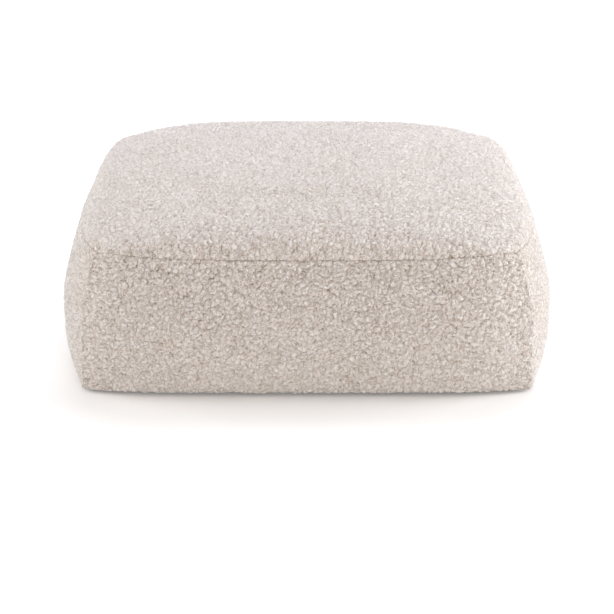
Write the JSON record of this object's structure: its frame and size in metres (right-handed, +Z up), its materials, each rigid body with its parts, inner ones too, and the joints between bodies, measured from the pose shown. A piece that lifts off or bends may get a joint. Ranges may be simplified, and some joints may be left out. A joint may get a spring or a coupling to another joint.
{
  "type": "floor cushion",
  "caption": "Square boxed floor cushion in curly pile fabric, with a domed top, bulging sides, a non-slip base and a zip at the back.",
  "frame": {"origin": "middle of the underside, on the floor", "axes": "+Z up, front faces -Y, the zip is on the +Y side, +X to the right seen from the front"},
  "size_m": [0.63, 0.63, 0.22],
  "materials": {
    "teddy_fabric": "matte",
    "base_fabric": "matte",
    "liner_nonwoven": "matte",
    "wadding_fibre": "matte",
    "foam_firm": "matte",
    "foam_soft": "matte",
    "zip_tape": "matte",
    "zip_coil": "satin",
    "zip_metal": "satin",
    "label_satin": "satin"
  },
  "bodies": {
    "cushion": {"cover_top_panel": "teddy_fabric", "cover_front_panel": "teddy_fabric", "cover_right_panel": "teddy_fabric", "cover_left_panel": "teddy_fabric", "cover_back_upper_strip": "teddy_fabric", "cover_back_lower_strip": "teddy_fabric", "cover_base_panel": "base_fabric", "zip_tape_upper": "zip_tape", "zip_tape_lower": "zip_tape", "zip_coil_upper": "zip_coil", "zip_coil_lower": "zip_coil", "zip_top_stop_upper": "zip_metal", "zip_top_stop_lower": "zip_metal", "zip_bottom_stop": "zip_metal", "care_label": "label_satin", "liner_top_panel": "liner_nonwoven", "liner_base_panel": "liner_nonwoven", "liner_side_band": "liner_nonwoven", "wadding_top_layer": "wadding_fibre", "wadding_base_layer": "wadding_fibre", "wadding_side_band": "wadding_fibre", "foam_core_lower": "foam_firm", "foam_core_upper": "foam_soft"},
    "zip_slider": {"zip_slider": "zip_metal"},
    "zip_pull": {"zip_pull_tab": "zip_metal"}
  },
  "joints": [
    {"name": "zip_slide", "type": "slide", "parent": "cushion", "child": "zip_slider", "axis": [1, 0, 0], "range_m": [-0.34, 0]},
    {"name": "zip_pull_hinge", "type": "hinge", "parent": "zip_slider", "child": "zip_pull", "pos_m": [0.17, 0.289, 0.045], "axis": [0, 0, -1], "range_deg": [0, 175]}
  ]
}
